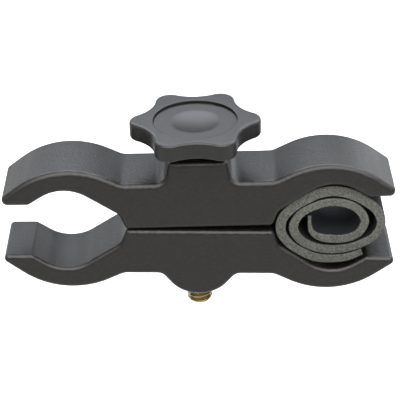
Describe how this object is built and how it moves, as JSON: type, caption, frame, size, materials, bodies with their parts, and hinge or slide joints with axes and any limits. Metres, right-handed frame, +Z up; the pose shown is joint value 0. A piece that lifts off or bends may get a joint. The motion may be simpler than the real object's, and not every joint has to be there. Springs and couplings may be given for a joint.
{
  "type": "twin tube clamp",
  "caption": "Twin tube clamp: two arched jaws closed by a star-knob screw, a rolled rubber packing strip held in one opening.",
  "frame": {"origin": "where the screw's axis passes the upper jaw's parting face, which is the middle of the part's box to within half a millimetre", "axes": "+X along the jaws towards the opening that holds the rolled strip, +Y from the front face to the back face, +Z up towards the knob"},
  "size_m": [0.0956, 0.0284, 0.0515],
  "materials": {
    "moulded_nylon": "satin, fine moulded grain",
    "knob_nylon": "satin",
    "packing_rubber": "matt, fine grain",
    "yellow_zinc": "yellow zinc plate",
    "brass": "turned",
    "washer_steel": "bright zinc plate"
  },
  "bodies": {
    "fixed_jaw": {"lower_jaw": "moulded_nylon", "thread_insert": "brass"},
    "strip_roll": {"rubber_strip": "packing_rubber"},
    "washer_seat": {"knob_washer": "washer_steel"},
    "moving_jaw": {"upper_jaw": "moulded_nylon"},
    "knob": {"knob_body": "knob_nylon", "knob_cap": "knob_nylon", "clamp_screw": "yellow_zinc"}
  },
  "joints": [
    {"name": "jaw_travel", "type": "slide", "parent": "fixed_jaw", "child": "washer_seat", "axis": [-0.0349, 0, 0.9994], "range_m": [0, 0.01143]},
    {"name": "knob_turn", "type": "hinge", "parent": "washer_seat", "child": "knob", "pos_m": [0, 0, -0.0137], "axis": [-0.0349, 0, 0.9994], "range_deg": [0, 3240]},
    {"name": "jaw_rock", "type": "hinge", "parent": "washer_seat", "child": "moving_jaw", "pos_m": [-0.0011, 0, 0.01768], "axis": [0, -1, 0], "range_deg": [-0.3, 0.4]},
    {"name": "strip_pull_out", "type": "slide", "parent": "fixed_jaw", "child": "strip_roll", "axis": [0, -1, 0], "range_m": [0, 0.02]}
  ],
  "couplings": [
    {"joint": "knob_turn", "follows": "jaw_travel", "rad_per_m": 4947.4}
  ]
}
